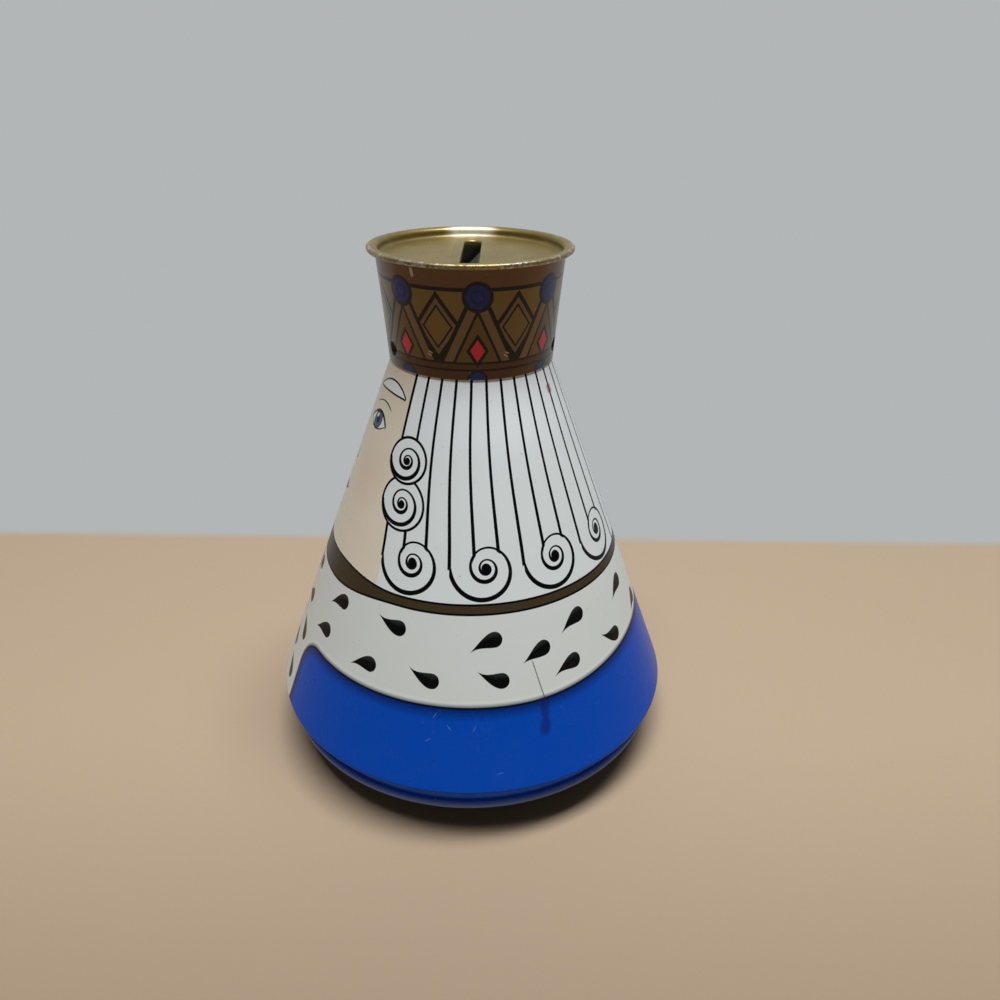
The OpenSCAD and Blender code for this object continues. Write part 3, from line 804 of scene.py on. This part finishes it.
def drawTiles(finish, radius, around, up):
    # Gives the colour and where the solid inks are, which hide the metal.
    inks = crownInks
    pitch = math.radians(tiles["pitch"])
    across = ((around - math.radians(tiles["start"])) / pitch + 0.5).part() * pitch - pitch / 2
    across = across * radius
    half = abs(across)
    lean = math.cos(math.atan(tiles["slope"]))
    inner = (half - tiles["slope"] * (tiles["spike"] - up)) * lean
    outer = (half - tiles["slope"] * (tiles["spikeOut"] - up)) * lean
    overLines = (up - tiles["lines"][0]).inside()
    middle = overLines * (tiles["band"] - up).inside()

    def lozenge(x, y, halfX, halfY):
        # Distance inside a lozenge: one less the sum of both shares, in millimetres across its edge
        return (1 - abs(x) / halfX - abs(y) / halfY) * (halfX * halfY / math.hypot(halfX, halfY))

    patchy = finish.above(finish.speckle(0.25, 3.0), 0.5, 0.25) * 0.25
    colour = finish.mix(patchy, inks["ground"], inks["strip"])
    colour = finish.mix(middle, colour, finish.mix(patchy, inks["golden"], inks["strip"]))
    colour = finish.mix(1 - overLines, colour, inks["foot"])
    between = lozenge(pitch * radius / 2 - half, up - tiles["lozengeUp"], *tiles["lozengeHalf"])
    inRim = between - tiles["lozengeRim"]
    colour = finish.mix(between.inside() * (-inRim).inside() * overLines, colour, inks["strip"])
    diamond = between.stroke(0.75).high(inRim.stroke(0.36)) * outer.inside()
    wedge = outer.inside() * (-between).inside() * (tiles["lozengeUp"] - 2.6 - up).inside()
    colour = finish.mix((-outer).inside() * inner.inside() * middle, colour, inks["strip"])
    colour = finish.mix((-inner).inside() * overLines, colour, inks["spike"])

    lines = diamond.high(wedge * 0.9).high(inner.stroke(0.5)).high(outer.stroke(0.8)) * middle
    lines = lines.high((up - tiles["band"]).stroke(0.72))
    for height in tiles["lines"]:
        lines = lines.high((up - height).stroke(0.42))
    inRed = lozenge(across, up - tiles["redUp"], *tiles["redHalf"])
    lines = lines.high((inRed + tiles["redRim"]).inside())
    colour = finish.mix(lines, colour, inks["line"])

    # Two short dashes side by side, leaning
    dashX, dashY = across - tiles["dash"][0], up - tiles["dash"][1]
    along, aside = dashX * 0.9 - dashY * 0.44, dashX * 0.44 + dashY * 0.9
    dashes = (abs(aside) - 0.3).stroke(0.2) * (0.42 - abs(along)).inside()
    colour = finish.mix(dashes, colour, inks["pale"])
    colour = finish.mix(inRed.inside(), colour, inks["red"])

    gemAway = finish.length(across, up - tiles["gemUp"])
    footAway = finish.length(across, up - tiles["footGemUp"])
    gemRim = (tiles["gemRadius"] - gemAway).inside().high((tiles["footGemRadius"] - footAway).inside())
    gem = (tiles["gemRadius"] - 0.7 - gemAway).inside().high((tiles["footGemRadius"] - 0.5 - footAway).inside())
    colour = finish.mix(gemRim, colour, inks["line"])
    colour = finish.mix(gem, colour, inks["gem"])
    colour = finish.mix((gemAway - tiles["gemRing"]).stroke(0.3, 0.2), colour, inks["gemRing"])
    return colour, lines.high(gemRim).high(inRed.inside())


def printCrown():
    finish = Finish("crownPrint")
    inks = crownInks
    radius = finish.length(finish.x, finish.y)
    around = finish.angle(finish.y, finish.x)
    up = finish.z - crown["foot"]
    colour, solid = drawTiles(finish, radius, around, up)

    # The outer skin's radius, with the dimples, parts the print from the plain inside.
    skinAt = crown["footMiddle"] + up * 0.082
    for direction in crown["dimples"]:
        aside = ((around - math.radians(direction)) / (2 * math.pi) + 0.5).part() * 2 * math.pi - math.pi
        away = finish.length(aside * dimpleFace, up - crown["dimpleUp"])
        dip = (dimpleBall * dimpleBall - away * away).high(0.0) ** 0.5 - (dimpleBall - dimpleDeep)
        skinAt = skinAt - dip.high(0.0)
    within = 1 - (radius - skinAt).inside(0.1)

    hairLines = finish.scratches(3.1, 0.012, (0.9, 0.2, 0.4), 0.4)
    chip = finish.speckle(1.3, 4.0, 0.6)
    nick = finish.above(chip, 0.72, 0.02) * finish.above(finish.speckle(0.17), 0.5, 0.08)
    footRub = finish.above(0.16 - up, 0.0, 0.12) * finish.above(chip, 0.66, 0.05)
    angle, height = tiles["flake"]
    flakeAside = (around - math.radians(angle)) * radius + (up - height) * 0.2
    flake = (0.32 - abs(flakeAside)).inside() * (0.75 - abs(up - height)).inside(0.3)
    bare = nick.high(footRub).high(flake).high(within)
    colour = finish.mix(hairLines * 0.1, colour, inks["pale"])
    colour = finish.mix(bare, colour, inks["tin"])
    colour = finish.mix(within, colour, inks["inside"])
    metal = 0.78 - solid * 0.5 + bare * 0.1
    rough = 0.24 + finish.speckle(0.12, 4.0, 0.6) * 0.16 + hairLines * 0.2
    relief = finish.speckle(0.16, 1.0) * 0.5 + finish.speckle(1.8, 1.0) * 0.03
    finish.dress(crownBand, Base_Color=colour, Roughness=rough, Metallic=metal, Specular_IOR_Level=0.3,
                 Coat_Weight=0.3 - bare * 0.2, Coat_Roughness=0.07, Normal=finish.bump(relief, 0.35, 0.3))


printCrown()
print("crown printed")


# Gold lacquer on the lid, rubbed through along the curl and the slot, with a painted highlight on the dish's back
# wall

gold = {
    "lacquer": ink(156, 134, 72), "deep": ink(136, 114, 56), "bare": ink(196, 192, 178), "grime": ink(66, 56, 36),
    # The pale colour below, with its radius, aside and half width, is a painted highlight on the dish's back wall.
    "paintedHighlight": ink(246, 236, 206), "roughness": 0.36, "metal": 0.85, "curlFrom": 19.2, "curlEdge": 19.55,
    "grimeRadius": 17.4, "highlightRadius": 18.1, "highlightAside": -0.5, "highlightHalf": 4.6,
}


def lacquerLid():
    finish = Finish("goldLacquer")
    radius = finish.length(finish.x, finish.y)
    cloud = finish.speckle(0.09, 4.0, 0.6)
    colour = finish.mix(finish.above(cloud, 0.5, 0.2), gold["lacquer"], gold["deep"])
    chip = finish.speckle(1.1, 5.0, 0.68)
    curlFace = finish.above(radius, gold["curlFrom"], 0.35)
    rub = curlFace * finish.above(chip, 0.53, 0.04) * finish.above(finish.speckle(0.12), 0.45, 0.12)
    slotAcross = (abs(finish.x) - (lid["slotLength"] - lid["slotWidth"]) / 2).high(0.0)
    slotAway = finish.length(slotAcross, finish.y) - lid["slotWidth"] / 2
    slotRub = (0.35 - slotAway).inside(0.3) * (slotAway + 0.1).inside(0.1) * finish.above(chip, 0.5, 0.08) * 0.15
    grimeAt = finish.above(-abs(radius - gold["grimeRadius"]), -0.5, 0.45) * finish.above(cloud, 0.46, 0.14)
    curlGrime = finish.above(radius, gold["curlEdge"], 0.2) * finish.above(finish.speckle(2.1, 3.0, 0.7), 0.6, 0.03)
    specks = finish.above(finish.speckle(2.2, 1.0), 0.75, 0.02)
    hairLines = finish.scratches(4.2, 0.016, (0.1, 0.3, 0.8), 0.6).high(
        finish.scratches(5.7, 0.012, (0.2, 0.1, 2.1), 0.5))
    bare = rub.high(slotRub)
    colour = finish.mix(bare, colour, gold["bare"])
    colour = finish.mix(hairLines * 0.12, colour, gold["bare"])
    colour = finish.mix(curlFace * 0.12, colour, gold["bare"])
    # A painted highlight: a pale patch on the wall of the dish, on the side away from the camera, that stands for a
    # reflection
    highlightAside = abs(finish.y - gold["highlightAside"]) - gold["highlightHalf"]
    onWall = finish.above(-abs(radius - gold["highlightRadius"]), -0.75, 0.5)
    paintedHighlight = finish.above(-highlightAside, 0.0, 1.6) * onWall * (-finish.x).inside()
    colour = finish.mix(paintedHighlight * 0.9, colour, gold["paintedHighlight"])
    grime = (grimeAt * 0.45).high(curlGrime * 0.85).high(specks * 0.6)
    colour = finish.mix(grime, colour, gold["grime"])
    rough = gold["roughness"] + finish.speckle(0.2, 4.0, 0.65) * 0.14 + grime * 0.25 - hairLines * 0.05
    relief = finish.speckle(0.2, 1.0) * 0.4 + finish.speckle(1.4, 2.0) * 0.04 + chip * curlFace * 0.08
    finish.dress(slotLid, Base_Color=colour, Roughness=rough, Metallic=gold["metal"] - grime * 0.5 - paintedHighlight * 0.6,
                 Coat_Weight=0.15 - bare * 0.15, Coat_Roughness=0.2, Normal=finish.bump(relief, 0.4, 0.35))


lacquerLid()
print("lid lacquered")


# Dark lacquer on the pan, scuffed where it rocks on the table

dark = {
    "lacquer": ink(44, 35, 27), "deep": ink(30, 24, 19), "scuff": ink(112, 100, 84), "bare": ink(150, 148, 142),
    "treadRadius": 22.0, "wornRadius": 6.5,
}


def lacquerPan():
    finish = Finish("baseLacquer")
    radius = finish.length(finish.x, finish.y)
    colour = finish.mix(finish.above(finish.speckle(0.1, 4.0), 0.5, 0.2), dark["lacquer"], dark["deep"])
    chip = finish.speckle(1.2, 4.0, 0.65)
    tread = finish.above(dark["treadRadius"] - radius, 0.0, 12.0)
    scuff = finish.scratches(6.1, 0.03, (0.1, 0.2, 1.3), 0.7) * (0.3 + tread * 0.7)
    worn = finish.above(dark["wornRadius"] - radius, 0.0, 3.0) * finish.above(chip, 0.46, 0.06)
    colour = finish.mix(scuff * 0.6, colour, dark["scuff"])
    colour = finish.mix(worn, colour, dark["bare"])
    rough = 0.34 + finish.speckle(0.3, 4.0, 0.6) * 0.18 + scuff * 0.2
    relief = finish.speckle(0.2, 2.0) * 0.5 + chip * 0.05
    finish.dress(basePan, Base_Color=colour, Roughness=rough, Metallic=worn * 0.8,
                 Coat_Weight=0.4 - worn * 0.4, Coat_Roughness=0.2, Normal=finish.bump(relief, 0.3, 0.3))


lacquerPan()
print("pan lacquered")


# Bare tinplate on the pieces inside, and the cast weight

bareTin = {"bright": ink(176, 174, 166), "dull": ink(140, 136, 124), "stain": ink(112, 92, 66)}
castIron = {"skin": ink(66, 64, 62), "rust": ink(104, 68, 44)}


def dressTin(nodes):
    finish = Finish("bareTin")
    colour = finish.mix(finish.above(finish.speckle(0.12, 5.0, 0.6), 0.5, 0.15), bareTin["bright"], bareTin["dull"])
    stain = finish.above(finish.speckle(0.35, 4.0, 0.7), 0.66, 0.06)
    brushed = finish.speckle(2.0, 2.0, 0.5, (0.06, 1.0, 1.0))
    colour = finish.mix(stain * 0.6, colour, bareTin["stain"])
    rough = 0.3 + brushed * 0.2 + stain * 0.25
    for node in nodes:
        finish.dress(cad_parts[node], Base_Color=colour, Roughness=rough, Metallic=0.95 - stain * 0.4,
                     Normal=finish.bump(brushed, 0.25, 0.1))


def dressWeight(node):
    finish = Finish("castIron")
    rust = finish.above(finish.speckle(0.4, 5.0, 0.7), 0.58, 0.08)
    grain = finish.speckle(1.2, 4.0, 0.7)
    colour = finish.mix(rust, castIron["skin"], castIron["rust"])
    finish.dress(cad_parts[node], Base_Color=colour, Roughness=0.6 + grain * 0.25,
                 Metallic=0.7 - rust * 0.6, Normal=finish.bump(grain, 0.7, 0.5))


dressTin(["neck_ring", "coin_floor", "ballast_cover", "coin_guard"])
dressWeight("ballast_weight")
print("inner pieces dressed")


# Table top, backdrop, studio light and camera

studio = {
    # The board's darker colour near the camera is a painted shade.
    "board": ink(187, 162, 136), "boardGrain": ink(166, 139, 112), "boardPaintedShade": ink(143, 120, 97),
    "back": ink(178, 182, 183), "boardEdge": -79.0, "edgeSoft": 3.0, "nearAt": 62.0, "nearSoft": 60.0,
    "nearShade": 0.75, "farAt": 360.0, "farSoft": 160.0, "floorSize": 6000.0, "wallAt": -700.0,
    "sky": 0.06, "skyColour": (0.97, 0.98, 1.0, 1.0),
}
lamps = {
    "overhead": {"place": (110, 54, 900), "aim": (0, 0, 50), "size": (640, 230), "power": 9.95,
                 "colour": (0.9, 0.95, 1.0)},
}
camera = {"place": (161.1, 6.17, 140.75), "tilt": 27.7, "roll": 0.66, "lens": 29.34, "sensor": 36.0}


def showBack(finish, colour, share, far=0.0):
    # Where share is 1, what the camera or a mirror sees is the colour itself, and where far is 1, what the
    # camera sees is. The shader's plain surface takes the light otherwise.
    straight = finish.node("LightPath", {}, out="Is Camera Ray")
    seen = straight.high(finish.node("LightPath", {}, out="Is Glossy Ray")).high(
        finish.node("LightPath", {}, out="Is Transmission Ray"))
    glow = finish.node("Emission", {}, colour, 1.0)
    mixed = finish.node("MixShader", {}, (seen * share).high(straight * far), Wire(finish, finish.shader.outputs[0]),
                        glow)
    output = next(n for n in finish.tree.nodes if n.bl_idname == "ShaderNodeOutputMaterial")
    finish.tree.links.new(mixed.socket, output.inputs["Surface"])


def flatOf(name, corners):
    # One flat face through four corners
    mesh = bpy.data.meshes.new(name)
    mesh.from_pydata(corners, [], [(0, 1, 2, 3)])
    made = bpy.data.objects.new(name, mesh)
    bpy.context.scene.collection.objects.link(made)
    return made


def makeFloor():
    # The board, with a painted shade that makes it a little darker near the camera, ends at a straight edge. The
    # backdrop's colour lies past it.
    half = studio["floorSize"] / 2 * mm
    floor = flatOf("floor", [(-half, -half, 0), (half, -half, 0), (half, half, 0), (-half, half, 0)])
    finish = Finish("tableTop")
    board = finish.above(finish.x, studio["boardEdge"], studio["edgeSoft"])
    grain = finish.speckle(0.8, 4.0, 0.6)
    card = finish.mix(grain * 0.12, studio["board"], studio["boardGrain"])
    far = finish.above(finish.length(finish.x, finish.y), studio["farAt"], studio["farSoft"])
    # Painted shade: the board turns darker towards the camera, but not far off.
    near = finish.above(finish.x, studio["nearAt"], studio["nearSoft"]) * (1 - far)
    card = finish.mix(near * studio["nearShade"], card, studio["boardPaintedShade"])
    colour = finish.mix(board, studio["back"], card)
    finish.dress(floor, Base_Color=colour, Roughness=0.8, Specular_IOR_Level=0.2)
    showBack(finish, colour, 1 - board, far)


def makeWall():
    half, place = studio["floorSize"] / 2 * mm, studio["wallAt"] * mm
    wall = flatOf("wall", [(place, -half, 0), (place, half, 0), (place, half, half), (place, -half, half)])
    finish = Finish("backdrop")
    finish.dress(wall, Base_Color=studio["back"], Roughness=0.9)
    showBack(finish, studio["back"], 1.0)


def makeSky():
    # A faint even light, behind which the camera sees the backdrop's colour
    world = bpy.data.worlds.new("studio")
    bpy.context.scene.world = world
    world.use_nodes = True
    nodes, links = world.node_tree.nodes, world.node_tree.links
    nodes.clear()
    path = nodes.new("ShaderNodeLightPath")
    seen = nodes.new("ShaderNodeBackground")
    seen.inputs["Color"].default_value = studio["back"]
    sky = nodes.new("ShaderNodeBackground")
    sky.inputs["Color"].default_value = studio["skyColour"]
    sky.inputs["Strength"].default_value = studio["sky"]
    either = nodes.new("ShaderNodeMath")
    either.operation = "MAXIMUM"
    mixed = nodes.new("ShaderNodeMixShader")
    output = nodes.new("ShaderNodeOutputWorld")
    links.new(path.outputs["Is Camera Ray"], either.inputs[0])
    links.new(path.outputs["Is Transmission Ray"], either.inputs[1])
    links.new(either.outputs[0], mixed.inputs[0])
    links.new(sky.outputs[0], mixed.inputs[1])
    links.new(seen.outputs[0], mixed.inputs[2])
    links.new(mixed.outputs[0], output.inputs["Surface"])


def makeLamp(name, place, aim, size, power, colour):
    # A rectangle of light at a place, turned towards its aim, with its first size along the picture's width
    lamp = bpy.data.lights.new(name, "AREA")
    lamp.shape, lamp.size, lamp.size_y = "RECTANGLE", size[0] * mm, size[1] * mm
    lamp.energy, lamp.color = power, colour
    holder = bpy.data.objects.new(name, lamp)
    bpy.context.scene.collection.objects.link(holder)
    ahead = np.array(aim, float) - np.array(place, float)
    ahead /= np.linalg.norm(ahead)
    right = np.cross(ahead, (0.02, 0.0, 1.0))
    right /= np.linalg.norm(right)
    turn = Matrix(np.stack([right, np.cross(right, ahead), -ahead], axis=1).tolist()).to_4x4()
    turn.translation = [c * mm for c in place]
    holder.matrix_world = turn


def makeCamera():
    # The picture's right is +Y. It looks along -X, tipped down, and is turned a little about its own axis.
    tilt, roll = math.radians(camera["tilt"]), math.radians(camera["roll"])
    back = np.array([math.cos(tilt), 0, math.sin(tilt)])
    right, up = np.array([0, 1, 0]), np.array([-math.sin(tilt), 0, math.cos(tilt)])
    turned = [right * math.cos(roll) + up * math.sin(roll), up * math.cos(roll) - right * math.sin(roll), back]
    data = bpy.data.cameras.new("camera")
    data.lens, data.sensor_width = camera["lens"], camera["sensor"]
    data.clip_start, data.clip_end = 0.005, 20.0
    holder = bpy.data.objects.new("camera", data)
    bpy.context.scene.collection.objects.link(holder)
    place = Matrix(np.stack(turned, axis=1).tolist()).to_4x4()
    place.translation = [c * mm for c in camera["place"]]
    holder.matrix_world = place
    bpy.context.scene.camera = holder


makeFloor()
makeWall()
makeSky()
for name, light in lamps.items():
    makeLamp(name, **light)
makeCamera()
bpy.context.scene.view_settings.view_transform = "Standard"
print("studio set")
